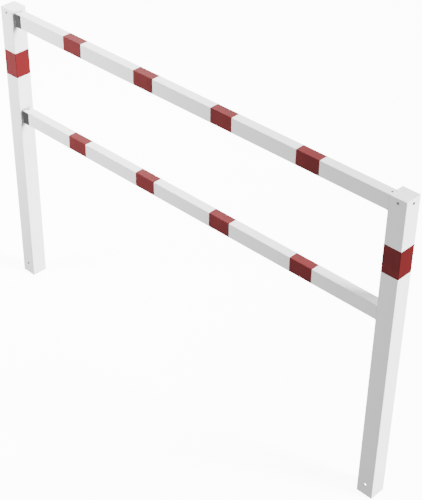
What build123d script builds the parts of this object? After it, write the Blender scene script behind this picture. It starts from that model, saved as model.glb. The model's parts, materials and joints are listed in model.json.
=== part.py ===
from build123d import *
import os

# A road barrier: two square posts joined by two horizontal rails. The rails are welded to the end post
# and hang on the hinge post by two lap hinges, one above the other on one vertical axis. Each rail's top
# wall lies over a hinge block, and one bolt goes down through both.
# Millimetres. X runs along the rails, Y from front to back, Z up. The origin is on the ground, midway
# between the posts.

# Overall sizes
LENGTH = 2000           # outer face to outer face of the posts
HEIGHT = 1300           # foot to top
WALL = 3                # wall of every tube
CORNER = 2              # outside corner radius of every tube
INNER_CORNER = 0.8      # inside corner radius of every tube

# Posts
POST = 70               # side of the square tube
FOOT_HOLE_R = 6         # anchor hole, through front and back
FOOT_HOLE_Z = 50

# Rails
RAIL_HEIGHT = 60
RAIL_DEPTH = 40
LOWER_RAIL_TOP = 862
VENT_R = 4              # zinc drain notch against the end post
VENT_INSET = 3.3        # end post's face to the middle of the notch

# Caps and their screws
CAP_PLATE = 3
CAP_EDGE = 0.8          # rounding of the cap's top edge
SKIRT = 63.6
SKIRT_DEPTH = 27
SKIRT_WALL = 3
SKIRT_REACH = 20        # post's centre to the skirt's open side, which faces the rails
CAP_SCREW_Z = 1283
CAP_SCREW_HOLE_R = 2.2  # in the post

# Hinges
HINGE_REACH = 32        # hinge post's face to the hinge axis
EAR_REACH = 10          # how far the rail's top wall passes the axis
NOTCH_REACH = 22        # where the rail's side walls begin, on the other side of the axis
NOTCH_R = 27.7          # round end of the cut in the rail's bottom wall
PLATE_THICK = 4
PLATE_WIDTH = 56
PLATE_HEIGHT = 60
PLATE_DROP = 12         # rail top to plate top
PLATE_CORNER = 3
WEB_THICK = 10
WEB_HEIGHT = 40
WEB_DROP = 14           # rail top to web top
BLOCK_R = 27.3          # round side of the block, which turns inside the rail's cut
BLOCK_BACK = 14         # axis to the block's flat side, which faces the post
BLOCK_GAP = 1           # block to the rail wall above it
WELL_R = 12             # round well for the washer and nut, open below
WELL_DEPTH = 15
CLOSURE_REACH = 29      # axis to the closure plate in the rail
CLOSURE_THICK = 3
CLOSURE_GAP = 0.2
BACKING_WIDTH = 60
BACKING_HEIGHT = 58
BACKING_THICK = 5

# Bushes
BUSH_LENGTH = 18
BUSH_BORE_R = 6.05      # 0.05 mm of running clearance on the bolt
BUSH_R = 8
BUSH_FIT = 0.02         # bush to block
FLANGE_R = 11
FLANGE_THICK = 1.7
FLANGE_SINK = 1         # how deep the flange sits in the block

# Hinge bolt, washer and nut
BOLT_R = 6
BOLT_HEAD_R = 9
BOLT_HEAD_HEIGHT = 2
BOLT_HOLE_R = 6.3
BOLT_SOCKET = 6         # across flats
BOLT_SOCKET_DEPTH = 7
BOLT_TIP = 1            # how far the bolt stands out of the nut
WASHER_R = 11
WASHER_THICK = 2.5
NUT_FLATS = 18
NUT_HEIGHT = 10
NUT_BORE_R = 6.02

# Cap screws
CAP_SCREW_HEAD_R = 4.75
CAP_SCREW_HEAD = 2.2
CAP_SCREW_R = 2
CAP_SCREW_LENGTH = 7
CAP_SCREW_SOCKET = 3    # across flats
CAP_SCREW_SOCKET_DEPTH = 1.3

# Plate screws: three at the plate's back edge and one below the hinge block, all clear of the block
PLATE_SCREW_Y = 21      # plate's middle to the screws
PLATE_SCREW_Z = 23
PLATE_SCREW_PLACES = (
    (PLATE_SCREW_Y, PLATE_SCREW_Z),
    (PLATE_SCREW_Y, 0),
    (PLATE_SCREW_Y, -PLATE_SCREW_Z),
    (-PLATE_SCREW_Y, -PLATE_SCREW_Z),
)
PLATE_SCREW_HEAD_R = 5
PLATE_SCREW_HEAD = 2.8
PLATE_SCREW_R = 2.5
PLATE_SCREW_LENGTH = 13
PLATE_SCREW_SOCKET = 3  # across flats
PLATE_SCREW_SOCKET_DEPTH = 2
PLATE_SCREW_CLEARANCE = 0.3
SCREW_FIT = 0.02        # small screws to their tapped holes

# Reflective bands
FILM = 0.4
POST_BAND_HEIGHT = 110
POST_BAND_Z = 1058      # middle of the band
RAIL_BAND_WIDTH = 100
RAIL_BAND_PITCH = 390
RAIL_BAND_COUNT = 4
FIRST_RAIL_BAND_X = -570

# Places worked out from the sizes above
POST_X = (LENGTH - POST) / 2
RAIL_Y = (RAIL_DEPTH - POST) / 2
HINGE_FACE_X = -POST_X + POST / 2
HINGE_X = HINGE_FACE_X + HINGE_REACH
PLATE_Y = (PLATE_WIDTH - POST) / 2
RAIL_START_X = HINGE_X - EAR_REACH
RAIL_END_X = POST_X - POST / 2
RAIL_TOPS = {"upper": HEIGHT, "lower": LOWER_RAIL_TOP}
POST_SIDES = {"hinge": -1, "end": 1}


def save(piece, name):
    """Labels a finished sub-part and writes it under its own name."""
    piece.part.label = name
    export_step(piece.part, f"parts/{name}.step")


def along_x(x, y, z):
    """A plane that faces +X, with its own x along Y and its own y along Z."""
    return Plane(origin=(x, y, z), x_dir=(0, 1, 0), z_dir=(1, 0, 0))


def rail_plane(x, rail_top):
    """The cross-section plane of a rail at x, centred on the tube."""
    return along_x(x, RAIL_Y, rail_top - RAIL_HEIGHT / 2)


def cap_screw_planes(side):
    """Planes on the front, back and outer face of a post, facing outwards, at the cap screws."""
    front = Plane(origin=(side * POST_X, -POST / 2, CAP_SCREW_Z), z_dir=(0, -1, 0))
    back = Plane(origin=(side * POST_X, POST / 2, CAP_SCREW_Z), z_dir=(0, 1, 0))
    outer = Plane(origin=(side * LENGTH / 2, 0, CAP_SCREW_Z), z_dir=(side, 0, 0))
    return [front, back, outer]


def plate_centre_z(rail_top):
    return rail_top - PLATE_DROP - PLATE_HEIGHT / 2


def plate_screw_planes(rail_top):
    """Planes on the hinge plate's outer face, facing +X, at its four screws."""
    face_x = HINGE_FACE_X + PLATE_THICK
    return [along_x(face_x, PLATE_Y + y, plate_centre_z(rail_top) + z) for y, z in PLATE_SCREW_PLACES]


def hexagon_radius(across_flats):
    """The corner radius of a hexagon of that width across flats."""
    return across_flats / 3**0.5


def button_screw():
    """A domed socket screw, head up, with the underside of its head at the origin."""
    with BuildPart() as screw:
        with BuildSketch(Plane.XY):
            Circle(CAP_SCREW_HEAD_R)
        extrude(amount=CAP_SCREW_HEAD)
        fillet(screw.edges().group_by(Axis.Z)[-1], radius=CAP_SCREW_HEAD * 0.7)
        with BuildSketch(Plane.XY):
            Circle(CAP_SCREW_R)
        extrude(amount=-CAP_SCREW_LENGTH)
        with BuildSketch(Plane.XY.offset(CAP_SCREW_HEAD)):
            RegularPolygon(hexagon_radius(CAP_SCREW_SOCKET), 6)
        extrude(amount=-CAP_SCREW_SOCKET_DEPTH, mode=Mode.SUBTRACT)
    return screw.part


def countersunk_screw():
    """A countersunk socket screw, head up, with the face of its head at the origin."""
    with BuildPart() as screw:
        with BuildSketch(Plane.XY):
            Circle(PLATE_SCREW_HEAD_R)
        extrude(amount=-PLATE_SCREW_HEAD, taper=45)
        with BuildSketch(Plane.XY):
            Circle(PLATE_SCREW_R)
        extrude(amount=-PLATE_SCREW_LENGTH)
        with BuildSketch(Plane.XY):
            RegularPolygon(hexagon_radius(PLATE_SCREW_SOCKET), 6)
        extrude(amount=-PLATE_SCREW_SOCKET_DEPTH, mode=Mode.SUBTRACT)
    return screw.part


def make_post(name, side):
    """A square tube, open at the foot, with its anchor hole and the holes for the cap screws."""
    with BuildPart() as post:
        with BuildSketch(Plane(origin=(side * POST_X, 0, 0))):
            RectangleRounded(POST, POST, CORNER)
            RectangleRounded(POST - 2 * WALL, POST - 2 * WALL, INNER_CORNER, mode=Mode.SUBTRACT)
        extrude(amount=HEIGHT - CAP_PLATE)
        with BuildSketch(Plane(origin=(side * POST_X, 0, FOOT_HOLE_Z), z_dir=(0, 1, 0))):
            Circle(FOOT_HOLE_R)
        extrude(amount=POST, both=True, mode=Mode.SUBTRACT)
        for plane in cap_screw_planes(side):
            with BuildSketch(plane):
                Circle(CAP_SCREW_HOLE_R)
            extrude(amount=-2 * WALL, mode=Mode.SUBTRACT)
        if side == POST_SIDES["hinge"]:
            for rail_top in RAIL_TOPS.values():
                for plane in plate_screw_planes(rail_top):
                    with BuildSketch(plane):
                        Circle(PLATE_SCREW_R + PLATE_SCREW_CLEARANCE)
                    extrude(amount=-(PLATE_THICK + 2 * WALL), mode=Mode.SUBTRACT)
    save(post, name)


def make_cap(name, side):
    """A flat lid on the tube's end with a skirt inside the tube's front, back and outer walls."""
    with BuildPart() as cap:
        with BuildSketch(Plane(origin=(side * POST_X, 0, HEIGHT - CAP_PLATE))):
            RectangleRounded(POST, POST, CORNER)
        extrude(amount=CAP_PLATE)
        fillet(cap.faces().sort_by(Axis.Z)[-1].edges(), radius=CAP_EDGE)
        with BuildSketch(Plane(origin=(side * POST_X, 0, HEIGHT - CAP_PLATE))):
            RectangleRounded(SKIRT, SKIRT, INNER_CORNER)
            Rectangle(SKIRT - 2 * SKIRT_WALL, SKIRT - 2 * SKIRT_WALL, mode=Mode.SUBTRACT)
            with Locations((-side * (SKIRT_REACH + SKIRT / 2), 0)):
                Rectangle(SKIRT, SKIRT, mode=Mode.SUBTRACT)
        extrude(amount=-SKIRT_DEPTH)
        for plane in cap_screw_planes(side):
            with BuildSketch(plane):
                Circle(CAP_SCREW_R + SCREW_FIT)
            extrude(amount=-(2 * WALL + SKIRT_WALL), mode=Mode.SUBTRACT)
    save(cap, name)


def make_cap_screws(name, side):
    """One button screw in the front, back and outer face of a post."""
    screw = button_screw()
    with BuildPart() as screws:
        with Locations(*[plane.location for plane in cap_screw_planes(side)]):
            add(screw)
    save(screws, name)


def make_post_band(name, side):
    """A reflective film wrapped round a post."""
    with BuildPart() as band:
        with BuildSketch(Plane(origin=(side * POST_X, 0, POST_BAND_Z - POST_BAND_HEIGHT / 2))):
            RectangleRounded(POST + 2 * FILM, POST + 2 * FILM, CORNER + FILM)
            RectangleRounded(POST, POST, CORNER, mode=Mode.SUBTRACT)
        extrude(amount=POST_BAND_HEIGHT)
    save(band, name)


def make_rail(name, rail_top):
    """A rectangular tube whose side and bottom walls are cut away at its hinge end."""
    with BuildPart() as rail:
        with BuildSketch(rail_plane(RAIL_START_X, rail_top)):
            RectangleRounded(RAIL_DEPTH, RAIL_HEIGHT, CORNER)
            RectangleRounded(RAIL_DEPTH - 2 * WALL, RAIL_HEIGHT - 2 * WALL, INNER_CORNER, mode=Mode.SUBTRACT)
        extrude(amount=RAIL_END_X - RAIL_START_X)
        with BuildSketch(Plane(origin=(HINGE_X, RAIL_Y, rail_top - WALL))):
            Rectangle(2 * NOTCH_REACH, 2 * RAIL_DEPTH)
            Circle(NOTCH_R)
        extrude(amount=-RAIL_HEIGHT, mode=Mode.SUBTRACT)
        with BuildSketch(Plane(origin=(HINGE_X, RAIL_Y, rail_top))):
            Circle(BOLT_HOLE_R)
        extrude(amount=-WALL, mode=Mode.SUBTRACT)
        vent_z = rail_top if rail_top == HEIGHT else rail_top - RAIL_HEIGHT + WALL
        with BuildSketch(Plane(origin=(RAIL_END_X - VENT_INSET, RAIL_Y, vent_z))):
            Circle(VENT_R)
        extrude(amount=-WALL, mode=Mode.SUBTRACT)
    save(rail, name)


def make_rail_band(name, x, rail_top):
    """A reflective film wrapped round a rail."""
    with BuildPart() as band:
        with BuildSketch(rail_plane(x - RAIL_BAND_WIDTH / 2, rail_top)):
            RectangleRounded(RAIL_DEPTH + 2 * FILM, RAIL_HEIGHT + 2 * FILM, CORNER + FILM)
            RectangleRounded(RAIL_DEPTH, RAIL_HEIGHT, CORNER, mode=Mode.SUBTRACT)
        extrude(amount=RAIL_BAND_WIDTH)
    save(band, name)


def make_closure(name, rail_top):
    """A plate inside the rail that shuts the tube beside the hinge block."""
    with BuildPart() as closure:
        with BuildSketch(rail_plane(HINGE_X + CLOSURE_REACH, rail_top)):
            inside = 2 * (WALL + CLOSURE_GAP)
            RectangleRounded(RAIL_DEPTH - inside, RAIL_HEIGHT - inside, INNER_CORNER)
        extrude(amount=CLOSURE_THICK)
    save(closure, name)


def make_hinge_plate(name, rail_top):
    """The plate screwed to the hinge post, with four countersunk holes."""
    with BuildPart() as plate:
        with BuildSketch(along_x(HINGE_FACE_X, PLATE_Y, plate_centre_z(rail_top))):
            RectangleRounded(PLATE_WIDTH, PLATE_HEIGHT, PLATE_CORNER)
        extrude(amount=PLATE_THICK)
        for plane in plate_screw_planes(rail_top):
            with BuildSketch(plane):
                Circle(PLATE_SCREW_HEAD_R + PLATE_SCREW_CLEARANCE)
            extrude(amount=-(PLATE_SCREW_HEAD - PLATE_SCREW_CLEARANCE / 2), taper=45, mode=Mode.SUBTRACT)
            with BuildSketch(plane):
                Circle(PLATE_SCREW_R + PLATE_SCREW_CLEARANCE)
            extrude(amount=-PLATE_THICK, mode=Mode.SUBTRACT)
    save(plate, name)


def make_backing_plate(name, rail_top):
    """A tapped plate inside the hinge post, behind the hinge plate."""
    with BuildPart() as backing:
        with BuildSketch(along_x(HINGE_FACE_X - WALL, 0, plate_centre_z(rail_top))):
            RectangleRounded(BACKING_WIDTH, BACKING_HEIGHT, INNER_CORNER)
        extrude(amount=-BACKING_THICK)
        for plane in plate_screw_planes(rail_top):
            with BuildSketch(plane):
                Circle(PLATE_SCREW_R + SCREW_FIT)
            extrude(amount=-(PLATE_THICK + WALL + BACKING_THICK), mode=Mode.SUBTRACT)
    save(backing, name)


def make_plate_screws(name, rail_top):
    """Four countersunk screws through the hinge plate into its backing plate."""
    screw = countersunk_screw()
    with BuildPart() as screws:
        with Locations(*[plane.location for plane in plate_screw_planes(rail_top)]):
            add(screw)
    save(screws, name)


def make_hinge_web(name, rail_top):
    """The rib that carries the hinge block on its plate."""
    start_x = HINGE_FACE_X + PLATE_THICK
    with BuildPart() as web:
        with BuildSketch(along_x(start_x, RAIL_Y, rail_top - WEB_DROP - WEB_HEIGHT / 2)):
            Rectangle(WEB_THICK, WEB_HEIGHT)
        extrude(amount=HINGE_X - BLOCK_BACK - start_x)
    save(web, name)


def block_top(rail_top):
    return rail_top - WALL - BLOCK_GAP


def well_top(rail_top):
    return rail_top - RAIL_HEIGHT + WELL_DEPTH


def nut_top(rail_top):
    return well_top(rail_top) - BLOCK_GAP - WASHER_THICK


def make_hinge_block(name, rail_top):
    """The block under the rail's top wall, bored for two flanged bushes, with a well for the nut."""
    foot = Plane(origin=(HINGE_X, RAIL_Y, rail_top - RAIL_HEIGHT))
    with BuildPart() as block:
        with BuildSketch(foot):
            Circle(BLOCK_R)
            Rectangle(2 * BLOCK_R, RAIL_DEPTH, mode=Mode.INTERSECT)
            with Locations((-BLOCK_BACK - BLOCK_R, 0)):
                Rectangle(2 * BLOCK_R, 2 * BLOCK_R, mode=Mode.SUBTRACT)
        extrude(amount=RAIL_HEIGHT - WALL - BLOCK_GAP)
        with BuildSketch(foot):
            Circle(BUSH_R + BUSH_FIT)
        extrude(amount=RAIL_HEIGHT, mode=Mode.SUBTRACT)
        with BuildSketch(foot):
            Circle(WELL_R)
        extrude(amount=WELL_DEPTH, mode=Mode.SUBTRACT)
        for z in (well_top(rail_top), block_top(rail_top) - FLANGE_SINK):
            with BuildSketch(Plane(origin=(HINGE_X, RAIL_Y, z))):
                Circle(FLANGE_R + BUSH_FIT)
            extrude(amount=FLANGE_SINK, mode=Mode.SUBTRACT)
    save(block, name)


def make_bushes(name, rail_top):
    """Two flanged bushes, one pressed in from the block's top and one from its well."""
    lower = Plane(origin=(HINGE_X, RAIL_Y, well_top(rail_top) + FLANGE_SINK), z_dir=(0, 0, -1))
    upper = Plane(origin=(HINGE_X, RAIL_Y, block_top(rail_top) - FLANGE_SINK), z_dir=(0, 0, 1))
    with BuildPart() as bushes:
        for seat in (lower, upper):
            with BuildSketch(seat):
                Circle(FLANGE_R)
                Circle(BUSH_BORE_R, mode=Mode.SUBTRACT)
            extrude(amount=FLANGE_THICK)
            with BuildSketch(seat):
                Circle(BUSH_R)
                Circle(BUSH_BORE_R, mode=Mode.SUBTRACT)
            extrude(amount=-BUSH_LENGTH)
    save(bushes, name)


def make_hinge_bolt(name, rail_top):
    """A flat-headed socket bolt from the rail's top face down through the lock nut."""
    length = rail_top - nut_top(rail_top) + NUT_HEIGHT + BOLT_TIP
    with BuildPart() as bolt:
        with BuildSketch(Plane(origin=(HINGE_X, RAIL_Y, rail_top))):
            Circle(BOLT_HEAD_R)
        extrude(amount=BOLT_HEAD_HEIGHT)
        fillet(bolt.edges().group_by(Axis.Z)[-1], radius=BOLT_HEAD_HEIGHT * 0.6)
        with BuildSketch(Plane(origin=(HINGE_X, RAIL_Y, rail_top))):
            Circle(BOLT_R)
        extrude(amount=-length)
        chamfer(bolt.edges().group_by(Axis.Z)[0], length=BOLT_TIP)
        with BuildSketch(Plane(origin=(HINGE_X, RAIL_Y, rail_top + BOLT_HEAD_HEIGHT))):
            RegularPolygon(hexagon_radius(BOLT_SOCKET), 6)
        extrude(amount=-BOLT_SOCKET_DEPTH, mode=Mode.SUBTRACT)
    save(bolt, name)


def make_washer(name, rail_top):
    """The washer between the lower bush and the lock nut."""
    with BuildPart() as washer:
        with BuildSketch(Plane(origin=(HINGE_X, RAIL_Y, nut_top(rail_top)))):
            Circle(WASHER_R)
            Circle(BOLT_HOLE_R, mode=Mode.SUBTRACT)
        extrude(amount=WASHER_THICK)
    save(washer, name)


def make_nut(name, rail_top):
    """The lock nut in the block's well: a hexagon with a round collar."""
    seat = Plane(origin=(HINGE_X, RAIL_Y, nut_top(rail_top)))
    with BuildPart() as nut:
        with BuildSketch(seat):
            RegularPolygon(hexagon_radius(NUT_FLATS), 6)
        extrude(amount=-NUT_HEIGHT * 0.7)
        with BuildSketch(seat):
            Circle(NUT_FLATS / 2 - 1)
        extrude(amount=-NUT_HEIGHT)
        with BuildSketch(seat):
            Circle(NUT_BORE_R)
        extrude(amount=-NUT_HEIGHT, mode=Mode.SUBTRACT)
    save(nut, name)


os.makedirs("parts", exist_ok=True)

for post_name, post_side in POST_SIDES.items():
    make_post(f"{post_name}_post", post_side)
    make_cap(f"{post_name}_post_cap", post_side)
    make_cap_screws(f"{post_name}_post_cap_screws", post_side)
    make_post_band(f"{post_name}_post_band", post_side)

for rail_name, top in RAIL_TOPS.items():
    make_rail(f"{rail_name}_rail", top)
    make_closure(f"{rail_name}_rail_closure", top)
    for number in range(RAIL_BAND_COUNT):
        band_x = FIRST_RAIL_BAND_X + number * RAIL_BAND_PITCH
        make_rail_band(f"{rail_name}_rail_band_{number + 1}", band_x, top)
    make_hinge_plate(f"{rail_name}_hinge_plate", top)
    make_backing_plate(f"{rail_name}_hinge_backing_plate", top)
    make_plate_screws(f"{rail_name}_hinge_plate_screws", top)
    make_hinge_web(f"{rail_name}_hinge_web", top)
    make_hinge_block(f"{rail_name}_hinge_block", top)
    make_bushes(f"{rail_name}_hinge_bushes", top)
    make_hinge_bolt(f"{rail_name}_hinge_bolt", top)
    make_washer(f"{rail_name}_hinge_washer", top)
    make_nut(f"{rail_name}_hinge_nut", top)
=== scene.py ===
import json
import math

import bmesh
import bpy
from mathutils import Matrix, Vector

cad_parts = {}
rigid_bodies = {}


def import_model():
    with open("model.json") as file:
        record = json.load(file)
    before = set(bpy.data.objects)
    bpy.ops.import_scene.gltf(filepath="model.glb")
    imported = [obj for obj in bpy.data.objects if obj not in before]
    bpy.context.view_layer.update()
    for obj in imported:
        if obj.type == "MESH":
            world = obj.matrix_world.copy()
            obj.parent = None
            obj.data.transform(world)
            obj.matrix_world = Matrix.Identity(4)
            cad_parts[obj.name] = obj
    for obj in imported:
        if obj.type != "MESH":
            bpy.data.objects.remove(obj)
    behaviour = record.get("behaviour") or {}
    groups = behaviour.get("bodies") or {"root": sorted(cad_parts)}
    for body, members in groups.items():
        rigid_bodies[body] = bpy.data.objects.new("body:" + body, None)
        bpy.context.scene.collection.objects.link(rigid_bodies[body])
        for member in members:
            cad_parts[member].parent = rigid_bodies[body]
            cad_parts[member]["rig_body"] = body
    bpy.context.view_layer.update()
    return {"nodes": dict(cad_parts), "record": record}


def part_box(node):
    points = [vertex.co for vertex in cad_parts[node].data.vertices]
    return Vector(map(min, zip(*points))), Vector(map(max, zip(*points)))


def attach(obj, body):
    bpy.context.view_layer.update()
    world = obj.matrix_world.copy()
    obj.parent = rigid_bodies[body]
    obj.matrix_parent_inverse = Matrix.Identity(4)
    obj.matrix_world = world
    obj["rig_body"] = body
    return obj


# The looks of a white tubular road barrier with red reflective bands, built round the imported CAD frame.
# Metres. X runs along the rails, Y from front to back, Z up.

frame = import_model()


# ---------------------------------------------------------------- places and sizes

def middle_and_half(node):
    """The middle of a node's box, and half of its size along each axis."""
    low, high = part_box(node)
    return (low + high) / 2, (high - low) / 2


# The tubes and the hinge axis; the hinge post stands as far to the left as the end post to the right
END_POST, POST_HALF = middle_and_half("end_post")
UPPER_RAIL, RAIL_HALF = middle_and_half("upper_rail")
LOWER_RAIL, _ = middle_and_half("lower_rail")
HINGE_AXIS, _ = middle_and_half("upper_hinge_bolt")

# Where patterns begin and end
POST_COAT = 0.0008          # a post's steel is unpainted, and painted near-black as shade, from this far under its outside
RAIL_COAT = 0.0025          # a rail's steel is unpainted, and painted near-black as shade, from this far under its outside
NOTCH_COAT = 0.0007         # and from this far where the drain notches are
END_ZONE = 0.90             # patterns for the end post's side begin at this X
END_ZONE_RISE = 0.010       # and reach their full strength over this length
SOCKET_REACH = 0.0046       # radius of the painted shade in the hollow of a hinge bolt's head
FILM_REACH = 0.0008         # a post's film lies within this of the post's face

# Welds
WELD_LEG = 0.0032           # fillet weld on the sides that nobody grinds
GROUND_LEG = 0.0006         # weld ground nearly flush on the front and top
BEAD_LEG = 0.00288          # smaller fillet weld on the hinge webs
WELD_RIPPLE = 0.0035        # length of one weld ripple
RIPPLE_DEPTH = 0.10         # its depth as a share of the leg
WELD_SINK = 0.0015          # how far a weld ring reaches into the end post's wall
WELD_ROOT = 0.0008          # how far it reaches into its rail's wall
BEAD_ROOT = 0.0003          # how far a bead reaches into its corner
BEAD_TRIM = 0.0015          # how far a bead stops short of its web's ends
NOTCH_HALF = 0.0042         # the weld keeps this far from the middle of the drain notch
RAIL_CORNER = 0.002         # corner radius of the rails

# Films and lock nuts
SEAM_WIDTH = 0.012          # overlap of a wrapped film
SEAM_THICK = 0.0003
SEAM_BEVEL = 0.00012
LOCK_RING_R = 0.0070        # middle of the lock nut's plastic ring
LOCK_RING_HALF = 0.0009     # half of its width
LOCK_RING_RISE = 0.0005     # half of its height

# Camera
CAMERA_PLACE = Vector((2.8299, -2.8316, 3.4818))
CAMERA_AZIMUTH = math.radians(45.85)
CAMERA_ELEVATION = math.radians(35.73)
CAMERA_ROLL = math.radians(-0.51)
CAMERA_LENS = 92.12
CAMERA_SENSOR = 36.0
CAMERA_SHIFT = (0.084, -0.0024)
CAMERA_FAR = 200.0

# The floor is a light table: bright to the camera, but it doesn't light the barrier from below
FLOOR_SIZE = 60.0
FLOOR_GLOW = 9.0
SKY_STRENGTH = 0.60


# ---------------------------------------------------------------- node helpers

class Shader:
    """One material whose nodes are added by short calls; its patterns lie in object space, in metres."""

    def __init__(self, name):
        self.material = bpy.data.materials.new(name)
        self.material.use_nodes = True
        self.nodes = self.material.node_tree.nodes
        self.links = self.material.node_tree.links
        self.surface = self.nodes["Principled BSDF"]
        self.place = self.nodes.new("ShaderNodeTexCoord").outputs["Object"]

    def link(self, value, socket):
        """Puts a link or a plain number or colour on a socket."""
        if isinstance(value, bpy.types.NodeSocket):
            self.links.new(value, socket)
        else:
            socket.default_value = value

    def stretched(self, x, y, z):
        """Object coordinates scaled along each axis."""
        mapping = self.nodes.new("ShaderNodeMapping")
        mapping.inputs["Scale"].default_value = (x, y, z)
        self.links.new(self.place, mapping.inputs["Vector"])
        return mapping.outputs["Vector"]

    def noise(self, scale, detail=2.0, roughness=0.5, place=None):
        """Soft noise around 0.5."""
        node = self.nodes.new("ShaderNodeTexNoise")
        node.inputs["Scale"].default_value = scale
        node.inputs["Detail"].default_value = detail
        node.inputs["Roughness"].default_value = roughness
        self.links.new(place or self.place, node.inputs["Vector"])
        return node.outputs["Fac"]

    def cells(self, scale):
        """Distance from the middle of the nearest cell."""
        node = self.nodes.new("ShaderNodeTexVoronoi")
        node.inputs["Scale"].default_value = scale
        self.links.new(self.place, node.inputs["Vector"])
        return node.outputs["Distance"]

    def remap(self, value, low, high, to_low, to_high):
        """Stretches the range low..high to to_low..to_high, and stays inside it."""
        node = self.nodes.new("ShaderNodeMapRange")
        self.link(value, node.inputs["Value"])
        node.inputs["From Min"].default_value = low
        node.inputs["From Max"].default_value = high
        node.inputs["To Min"].default_value = to_low
        node.inputs["To Max"].default_value = to_high
        return node.outputs["Result"]

    def before(self, value, place, length):
        """1 up to a place, falling to 0 over a length."""
        return self.remap(value, place, place + length, 1.0, 0.0)

    def after(self, value, place, length):
        """0 up to a place, rising to 1 over a length."""
        return self.remap(value, place, place + length, 0.0, 1.0)

    def math(self, operation, a, b):
        node = self.nodes.new("ShaderNodeMath")
        node.operation = operation
        self.link(a, node.inputs[0])
        self.link(b, node.inputs[1])
        return node.outputs["Value"]

    def unsigned(self, value):
        return self.math("ABSOLUTE", value, 0.0)

    def off_from(self, value, middle):
        """How far a number is from a middle value."""
        return self.unsigned(self.math("SUBTRACT", value, middle))

    def within(self, value, reach):
        """1 where the value is below the reach, otherwise 0."""
        return self.math("LESS_THAN", value, reach)

    def mix(self, share, a, b):
        """Colour a where the share is 0, colour b where it is 1."""
        node = self.nodes.new("ShaderNodeMix")
        node.data_type = "RGBA"
        self.link(share, node.inputs["Factor"])
        self.link(a, node.inputs["A"])
        self.link(b, node.inputs["B"])
        return node.outputs["Result"]

    def axes(self):
        """The place as three numbers; the last is the height above the ground at rest."""
        node = self.nodes.new("ShaderNodeSeparateXYZ")
        self.links.new(self.place, node.inputs["Vector"])
        return node.outputs["X"], node.outputs["Y"], node.outputs["Z"]

    def bump(self, value, distance, strength, under=None):
        """A normal bent by a pattern, on top of another bent normal if there is one."""
        node = self.nodes.new("ShaderNodeBump")
        node.inputs["Distance"].default_value = distance
        node.inputs["Strength"].default_value = strength
        self.links.new(value, node.inputs["Height"])
        if under is not None:
            self.links.new(under, node.inputs["Normal"])
        return node.outputs["Normal"]

    def finish(self, colour, roughness, normal, metallic=0.0, specular=0.5):
        self.link(colour, self.surface.inputs["Base Color"])
        self.link(roughness, self.surface.inputs["Roughness"])
        self.links.new(normal, self.surface.inputs["Normal"])
        self.surface.inputs["Metallic"].default_value = metallic
        self.surface.inputs["Specular IOR Level"].default_value = specular
        return self.material


def grey(level):
    return (level, level, level, 1.0)


# ---------------------------------------------------------------- materials

def bare_and_shaded_insides(s):
    """Painted shade: unpainted steel made near-black on the inner walls of the posts and rails and on the
    sides of their drilled holes.
    """
    x, y, z = s.axes()
    post_x = s.off_from(s.unsigned(x), END_POST.x)
    in_post = s.within(s.math("MAXIMUM", post_x, s.unsigned(y)), POST_HALF.y - POST_COAT)
    plain_half, notch_half = RAIL_HALF.z - RAIL_COAT, RAIL_HALF.z - NOTCH_COAT
    half_height = s.remap(x, END_ZONE, END_ZONE + END_ZONE_RISE, plain_half, notch_half)
    upper = s.within(s.off_from(z, UPPER_RAIL.z), half_height)
    lower = s.within(s.off_from(z, LOWER_RAIL.z), half_height)
    rail_y = s.within(s.off_from(y, UPPER_RAIL.y), RAIL_HALF.y - RAIL_COAT)
    rail_x = s.within(s.off_from(x, UPPER_RAIL.x), RAIL_HALF.x + WELD_SINK)
    in_section = s.math("MULTIPLY", s.math("MAXIMUM", upper, lower), rail_y)
    in_rail = s.math("MULTIPLY", in_section, rail_x)
    return s.math("MAXIMUM", in_post, in_rail), grey(0.02)


def painted_socket_shade(s):
    """Painted shade: near-black in the hollow of each hinge bolt's head, round the line through both bolts.
    """
    x, y, _ = s.axes()
    x_off, y_off = s.off_from(x, HINGE_AXIS.x), s.off_from(y, HINGE_AXIS.y)
    squared = s.math("ADD", s.math("MULTIPLY", x_off, x_off), s.math("MULTIPLY", y_off, y_off))
    return s.within(squared, SOCKET_REACH ** 2), grey(0.01)


def white_powder_coat(name, level=0.80, shaded_hollows=None):
    """White powder coat: orange peel, faint cloudiness, fine specks and a little dust near the ground."""
    s = Shader(name)
    clouds = s.noise(5.0, detail=3.0, roughness=0.55)
    base = s.mix(s.after(clouds, 0.35, 0.30), grey(level * 0.965), grey(level))
    specks = s.noise(1400.0, roughness=0.6)
    base = s.mix(s.remap(specks, 0.66, 0.80, 0.0, 0.35), base, grey(level * 0.86))
    dust_height, most_dust = 0.16, 0.16
    low_down = s.remap(s.axes()[2], 0.0, dust_height, most_dust, 0.0)
    dust_patches = s.noise(28.0, detail=4.0, roughness=0.65)
    dust = s.math("MULTIPLY", low_down, s.remap(dust_patches, 0.35, 0.75, 0.2, 1.0))
    base = s.mix(dust, base, (0.52, 0.50, 0.46, 1.0))
    # Painted shade in hollows: near-black inside the tubes and holes, where the steel is also unpainted, and
    # in the bolt sockets
    if shaded_hollows is not None:
        mask, hollow_shade_colour = shaded_hollows(s)
        base = s.mix(mask, base, hollow_shade_colour)
    peel = s.noise(260.0, roughness=0.45)
    grain = s.noise(1800.0)
    normal = s.bump(grain, 0.00002, 0.5, under=s.bump(peel, 0.00007, 0.7))
    roughness = s.remap(s.noise(60.0, detail=3.0, roughness=0.6), 0.3, 0.7, 0.36, 0.48)
    return s.finish(base, roughness, normal, specular=0.45)


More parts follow.
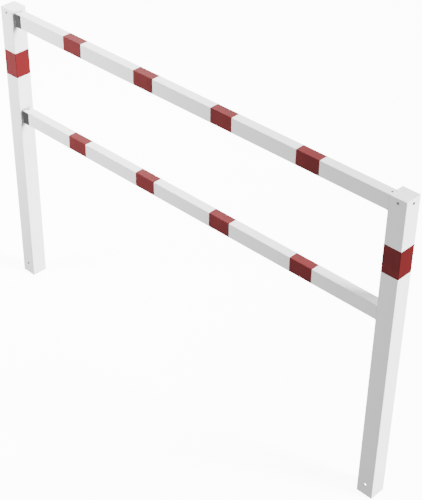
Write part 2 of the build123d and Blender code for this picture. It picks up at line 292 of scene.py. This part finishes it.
def red_film():
    """Red reflective film: glass beads under a smooth face with a painted glint at each bead, and painted
    shade making the right faces of both posts deeper red.
    """
    s = Shader("red_film")
    deep_red, plain_red = (0.106, 0.0210, 0.0223, 1.0), (0.128, 0.0252, 0.0266, 1.0)
    bead_glint_red = (0.140, 0.0290, 0.0306, 1.0)
    hinge_post_shaded_red, end_post_shaded_red = (0.094, 0.0102, 0.0112, 1.0), (0.059, 0.0062, 0.0070, 1.0)
    clouds = s.noise(16.0, detail=3.0, roughness=0.6)
    base = s.mix(s.after(clouds, 0.3, 0.4), deep_red, plain_red)
    # Painted glint: the red is brighter towards the middle of each glass bead
    beads = s.cells(1500.0)
    base = s.mix(s.remap(beads, 0.0, 0.5, 0.45, 0.0), base, bead_glint_red)
    x, _, _ = s.axes()
    # Painted shade: the film on each post's right face is made a deeper red, the end post's deepest
    for post_x, post_shaded_red in ((-END_POST.x, hinge_post_shaded_red), (END_POST.x, end_post_shaded_red)):
        shaded_right_face = s.within(s.off_from(x, post_x + POST_HALF.x), FILM_REACH)
        base = s.mix(shaded_right_face, base, post_shaded_red)
    waves = s.noise(90.0)
    normal = s.bump(beads, 0.00002, 0.35, under=s.bump(waves, 0.00006, 0.5))
    roughness = s.remap(s.noise(120.0, detail=3.0, roughness=0.6), 0.3, 0.7, 0.42, 0.56)
    return s.finish(base, roughness, normal, specular=0.02)


def grey_bracket():
    """Dark grey textured coating of the hinge brackets with lighter rubbed patches, and painted light making
    the plate's front edge pale grey.
    """
    s = Shader("grey_bracket")
    clouds = s.noise(40.0, detail=4.0, roughness=0.6)
    base = s.mix(s.after(clouds, 0.3, 0.4), grey(0.023), grey(0.030))
    rub = s.noise(420.0, detail=3.0, roughness=0.7)
    base = s.mix(s.remap(rub, 0.62, 0.80, 0.0, 0.5), base, grey(0.05))
    x, y, _ = s.axes()
    # Painted light: the strip of plate in front of the web, which stands in shade beside the rail's end, is
    # made pale grey
    plate_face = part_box("upper_hinge_plate")[1].x
    web_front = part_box("upper_hinge_web")[0].y
    light_spread, fade_along_x, fade_along_y = 0.002, 0.011, 0.008
    plate_light_zone = s.before(x, plate_face + light_spread, fade_along_x)
    front_light_zone = s.before(y, web_front, fade_along_y)
    base = s.mix(s.math("MULTIPLY", plate_light_zone, front_light_zone), base, grey(0.64))
    normal = s.bump(s.noise(900.0, detail=3.0, roughness=0.55), 0.00006, 0.6)
    roughness = s.remap(s.noise(200.0), 0.3, 0.7, 0.42, 0.58)
    return s.finish(base, roughness, normal, specular=0.25)


def black_oxide():
    """Black oxide cap screws with faint oily variation; on the end post the front one is painted pale as
    light and the outer one is painted darkest as shade."""
    s = Shader("black_oxide")
    base = s.mix(s.noise(300.0, detail=3.0, roughness=0.6), grey(0.018), grey(0.036))
    x, y, _ = s.axes()
    # Painted light: the end post's front screw head, which stands in shade, is made pale grey
    pale_depth, pale_fade = 0.004, 0.001
    front_head = s.before(y, pale_depth - POST_HALF.y, pale_fade)
    front_screw_light = s.math("MULTIPLY", s.after(x, END_ZONE, END_ZONE_RISE), front_head)
    base = s.mix(front_screw_light, base, grey(0.30))
    # Painted shade: the end post's outer screw, which the sun lights, is made the darkest
    screw_depth, screw_fade = 0.010, 0.005
    outer_screw_shade = s.after(x, END_POST.x + POST_HALF.x - screw_depth, screw_fade)
    base = s.mix(outer_screw_shade, base, grey(0.010))
    normal = s.bump(s.noise(2600.0), 0.00001, 0.5)
    roughness = s.remap(s.noise(500.0), 0.3, 0.7, 0.32, 0.46)
    return s.finish(base, roughness, normal, specular=0.12)


def zinc_plate():
    """Zinc plated steel with a cloudy, slightly streaked sheen."""
    s = Shader("zinc_plate")
    clouds = s.noise(160.0, detail=4.0, roughness=0.65)
    base = s.mix(clouds, (0.44, 0.45, 0.46, 1.0), (0.60, 0.61, 0.63, 1.0))
    yellowing = s.noise(700.0, detail=3.0, roughness=0.6)
    base = s.mix(s.remap(yellowing, 0.55, 0.75, 0.0, 0.5), base, (0.66, 0.64, 0.58, 1.0))
    streaks = s.noise(1500.0, place=s.stretched(1.0, 1.0, 4.0))
    normal = s.bump(streaks, 0.00001, 0.6)
    roughness = s.remap(s.noise(350.0, detail=3.0, roughness=0.6), 0.3, 0.7, 0.28, 0.44)
    return s.finish(base, roughness, normal, metallic=0.9)


def bearing_polymer():
    """Dark plain-bearing plastic with a fine moulded grain."""
    s = Shader("bearing_polymer")
    base = s.mix(s.noise(400.0), grey(0.035), grey(0.06))
    normal = s.bump(s.noise(3000.0), 0.00001, 0.6)
    roughness = s.remap(s.noise(800.0), 0.3, 0.7, 0.50, 0.62)
    return s.finish(base, roughness, normal, specular=0.4)


def pale_floor():
    """Matt pale light table with a trace of tone variation."""
    s = Shader("pale_floor")
    base = s.mix(s.noise(0.8), grey(0.86), grey(0.90))
    normal = s.bump(s.noise(60.0), 0.0001, 0.1)
    s.surface.inputs["Emission Color"].default_value = grey(1.0)
    s.surface.inputs["Emission Strength"].default_value = FLOOR_GLOW
    return s.finish(base, 0.9, normal, specular=0.1)


MATERIALS = {
    "white_paint": white_powder_coat("white_powder_coat", shaded_hollows=bare_and_shaded_insides),
    "white_cap": white_powder_coat("white_cap_coat", level=0.81),
    "painted_bolt": white_powder_coat("white_bolt_coat", level=0.76, shaded_hollows=painted_socket_shade),
    "red_film": red_film(),
    "grey_bracket": grey_bracket(),
    "dark_screws": black_oxide(),
    "zinc_steel": zinc_plate(),
    "bush_polymer": bearing_polymer(),
}


def dress(piece, slot):
    """Gives an object the material of one of the record's slots."""
    piece.data.materials.clear()
    piece.data.materials.append(MATERIALS[slot])


for entry in frame["record"]["subparts"]:
    dress(frame["nodes"][entry["node"]], entry["material_slot"])


# ---------------------------------------------------------------- pieces

def add_mesh(name, mesh_maker, body, slot, smooth=True):
    """Makes a piece from a bmesh, smooths it unless its faces are flat, and lets it ride on a body."""
    mesh = bpy.data.meshes.new(name)
    bm = bmesh.new()
    mesh_maker(bm)
    bmesh.ops.recalc_face_normals(bm, faces=bm.faces)
    bm.to_mesh(mesh)
    bm.free()
    for polygon in mesh.polygons:
        polygon.use_smooth = smooth
    piece = bpy.data.objects.new(name, mesh)
    bpy.context.scene.collection.objects.link(piece)
    dress(piece, slot)
    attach(piece, body)


def arc(start, end, steps):
    """Evenly spaced angles in radians from one angle to another, both in degrees and both included."""
    return [math.radians(start + (end - start) * step / steps) for step in range(steps + 1)]


def loft(bm, rings, closed):
    """Skins a list of rings of points; closed joins the last to the first, otherwise both ends are capped."""
    rows = [[bm.verts.new(point) for point in ring] for ring in rings]
    count = len(rows[0])
    pairs = list(zip(rows, rows[1:]))
    if closed:
        pairs.append((rows[-1], rows[0]))
    for row_a, row_b in pairs:
        for i in range(count):
            j = (i + 1) % count
            bm.faces.new((row_a[i], row_a[j], row_b[j], row_b[i]))
    if not closed:
        bm.faces.new(rows[0])
        bm.faces.new(list(reversed(rows[-1])))


def rippled(leg, travelled, strength=1.0):
    """A weld's leg after some length of its ripples."""
    return leg * (1.0 + RIPPLE_DEPTH * strength * math.cos(2 * math.pi * travelled / WELD_RIPPLE))


def rail_outline(low, high):
    """Points and outward directions round a rail's section, evenly spaced along its sides and corners."""
    side_steps, corner_steps = 24, 4
    centre = (low + high) / 2
    half_y = (high.y - low.y) / 2 - RAIL_CORNER
    half_z = (high.z - low.z) / 2 - RAIL_CORNER
    corners = [
        (Vector((0.0, centre.y + sign_y * half_y, centre.z + sign_z * half_z)), start)
        for sign_y, sign_z, start in ((1, 1, 0), (-1, 1, 90), (-1, -1, 180), (1, -1, 270))
    ]
    outline = []
    for index, (corner, start) in enumerate(corners):
        for angle in arc(start, start + 90, corner_steps):
            out = Vector((0.0, math.cos(angle), math.sin(angle)))
            outline.append((corner + out * RAIL_CORNER, out))
        here, out = outline[-1]
        there = corners[(index + 1) % 4][0] + out * RAIL_CORNER
        for step in range(1, side_steps):
            outline.append((here.lerp(there, step / side_steps), out))
    return outline


def weld_ring(name, rail, flush_top, notch_side):
    """The weld between a rail's end and the end post: a rippled fillet, ground flush where it would show,
    which stops on both sides of the drain notch in the rail's top (side 1) or bottom (side -1) wall."""
    low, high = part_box(rail)
    outline = rail_outline(low, high)
    centre_y = (low.y + high.y) / 2
    clear = [out.z * notch_side < 0.9 or abs(point.y - centre_y) > NOTCH_HALF for point, out in outline]
    first = next(i for i, is_clear in enumerate(clear) if is_clear and not clear[i - 1])
    path = [outline[i] for i in (*range(first, len(outline)), *range(first)) if clear[i]]

    def build(bm):
        rings = []
        travelled = 0.0
        last = path[0][0]
        for point, out in path:
            travelled += (point - last).length
            last = point
            ground = min(1.0, max(0.0, -out.y) + (max(0.0, out.z) if flush_top else 0.0))
            leg = WELD_LEG + (GROUND_LEG - WELD_LEG) * ground
            proud = 0.12 + 0.70 * (1.0 - ground)
            size = rippled(leg, travelled, 1.0 - ground)
            profile = [(-size * math.cos(angle), size * proud * math.sin(angle)) for angle in arc(0, 90, 8)]
            profile += [(WELD_SINK, leg * proud * 0.9), (WELD_SINK, -WELD_ROOT), (-leg, -WELD_ROOT)]
            rings.append([point + out * up + Vector((high.x + along, 0, 0)) for along, up in profile])
        loft(bm, rings, closed=False)

    add_mesh(name, build, "panel", "white_paint")


def film_seam(name, node, axis):
    """The overlap strip where a wrapped film ends, on the back of a tube that runs along the axis."""
    low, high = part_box(node)
    centre = (low + high) / 2

    def build(bm):
        if axis == "Z":
            size = Vector((SEAM_WIDTH, SEAM_THICK * 2, high.z - low.z))
        else:
            size = Vector((high.x - low.x, SEAM_THICK * 2, SEAM_WIDTH))
        bmesh.ops.create_cube(bm, size=1.0)
        bmesh.ops.scale(bm, vec=size, verts=bm.verts)
        bmesh.ops.translate(bm, vec=Vector((centre.x, high.y, centre.z)), verts=bm.verts)
        bmesh.ops.bevel(bm, geom=bm.edges[:], offset=SEAM_BEVEL, segments=2, affect="EDGES")

    add_mesh(name, build, frame["nodes"][node]["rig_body"], "red_film", smooth=False)


def bead(bm, start, end, side_a, side_b):
    """A rippled fillet weld along a line, in the corner between directions side_a and side_b."""
    steps_per_ripple, taper_rate, end_size = 6, 14, 0.25
    length = (end - start).length
    steps = max(12, int(length / WELD_RIPPLE * steps_per_ripple))
    rings = []
    for step in range(steps + 1):
        share = step / steps
        point = start.lerp(end, share)
        from_end = min(share, 1 - share)
        taper = min(1.0, from_end * taper_rate) ** 0.5 if from_end > 0 else end_size
        size = rippled(BEAD_LEG * taper, share * length)
        ring = [point - (side_a + side_b) * BEAD_ROOT]
        for angle in arc(0, 90, 7):
            ring.append(point + (side_a * math.cos(angle) + side_b * math.sin(angle)) * size)
        rings.append(ring)
    loft(bm, rings, closed=False)


def hinge_welds(name, rail):
    """Fillet welds between a hinge's web, its plate and its block."""
    low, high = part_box(f"{rail}_hinge_web")

    def build(bm):
        for y, side in ((low.y, -1), (high.y, 1)):
            for x, away in ((low.x, 1), (high.x, -1)):
                start = Vector((x, y, low.z + BEAD_TRIM))
                end = Vector((x, y, high.z - BEAD_TRIM))
                bead(bm, start, end, Vector((away, 0, 0)), Vector((0, side, 0)))

    add_mesh(name, build, "hinge_post_side", "grey_bracket")


def lock_ring(name, rail):
    """The plastic ring that grips the bolt at the lock nut's lower end."""
    low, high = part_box(f"{rail}_hinge_nut")
    centre = Vector(((low.x + high.x) / 2, (low.y + high.y) / 2, low.z))

    def build(bm):
        rings = []
        for around in arc(0, 360, 64)[:-1]:
            out = Vector((math.cos(around), math.sin(around), 0))
            ring = []
            for turn in arc(0, 360, 12)[:-1]:
                across = LOCK_RING_R + LOCK_RING_HALF * math.cos(turn)
                ring.append(centre + out * across + Vector((0, 0, LOCK_RING_RISE * math.sin(turn))))
            rings.append(ring)
        loft(bm, rings, closed=True)

    add_mesh(name, build, "panel", "bush_polymer")


weld_ring("upper_rail_weld", "upper_rail", flush_top=True, notch_side=1)
weld_ring("lower_rail_weld", "lower_rail", flush_top=False, notch_side=-1)
for rail_name in ("upper", "lower"):
    hinge_welds(f"{rail_name}_hinge_welds", rail_name)
    lock_ring(f"{rail_name}_hinge_lock_ring", rail_name)
for node_name in frame["nodes"]:
    if "rail_band" in node_name:
        film_seam(f"{node_name}_seam", node_name, "X")
    elif node_name.endswith("_band"):
        film_seam(f"{node_name}_seam", node_name, "Z")


# ---------------------------------------------------------------- stage, light and camera

def add_floor():
    bpy.ops.mesh.primitive_plane_add(size=FLOOR_SIZE, location=(0, 0, 0))
    floor = bpy.context.object
    floor.name = "floor"
    floor.data.materials.append(pale_floor())
    floor.visible_diffuse = False
    floor.visible_glossy = False


def add_sky():
    world = bpy.data.worlds.new("studio")
    world.use_nodes = True
    background = world.node_tree.nodes["Background"]
    background.inputs["Color"].default_value = grey(1.0)
    background.inputs["Strength"].default_value = SKY_STRENGTH
    bpy.context.scene.world = world


def add_lamp(light, direction, place=(0, 0, 0)):
    """Puts a light in the scene, shining along a direction."""
    lamp = bpy.data.objects.new(light.name, light)
    lamp.location = place
    lamp.rotation_mode = "QUATERNION"
    lamp.rotation_quaternion = direction.to_track_quat("-Z", "Y")
    bpy.context.scene.collection.objects.link(lamp)


def add_area(name, place, target, size, power):
    """A square soft box aimed at a point."""
    light = bpy.data.lights.new(name, "AREA")
    light.shape = "SQUARE"
    light.size = size
    light.energy = power
    add_lamp(light, Vector(target) - Vector(place), place)


def add_sun(name, direction, softness, strength):
    """A distant light with soft shadows; softness is how many degrees of the sky it fills."""
    light = bpy.data.lights.new(name, "SUN")
    light.angle = math.radians(softness)
    light.energy = strength
    add_lamp(light, Vector(direction))


def add_camera():
    camera_data = bpy.data.cameras.new("camera")
    camera_data.lens = CAMERA_LENS
    camera_data.sensor_width = CAMERA_SENSOR
    camera_data.shift_x, camera_data.shift_y = CAMERA_SHIFT
    camera_data.clip_end = CAMERA_FAR
    camera = bpy.data.objects.new("camera", camera_data)
    back = Vector((
        math.sin(CAMERA_AZIMUTH) * math.cos(CAMERA_ELEVATION),
        -math.cos(CAMERA_AZIMUTH) * math.cos(CAMERA_ELEVATION),
        math.sin(CAMERA_ELEVATION),
    ))
    turn = (-back).to_track_quat("-Z", "Y").to_matrix().to_4x4()
    camera.matrix_world = Matrix.Translation(CAMERA_PLACE) @ turn @ Matrix.Rotation(CAMERA_ROLL, 4, "Z")
    bpy.context.scene.collection.objects.link(camera)
    bpy.context.scene.camera = camera


add_floor()
add_sky()
add_area("key", place=(-1.8, -1.6, 1.5), target=(-1.0, 0, 0.7), size=1.0, power=134.0)
add_area("top", place=(-2.1, 1.35, 3.1), target=(-0.6, 0, 1.0), size=1.5, power=175.0)
add_sun("side", direction=(-1.0, -0.42, -0.48), softness=22.0, strength=19.0)
add_camera()
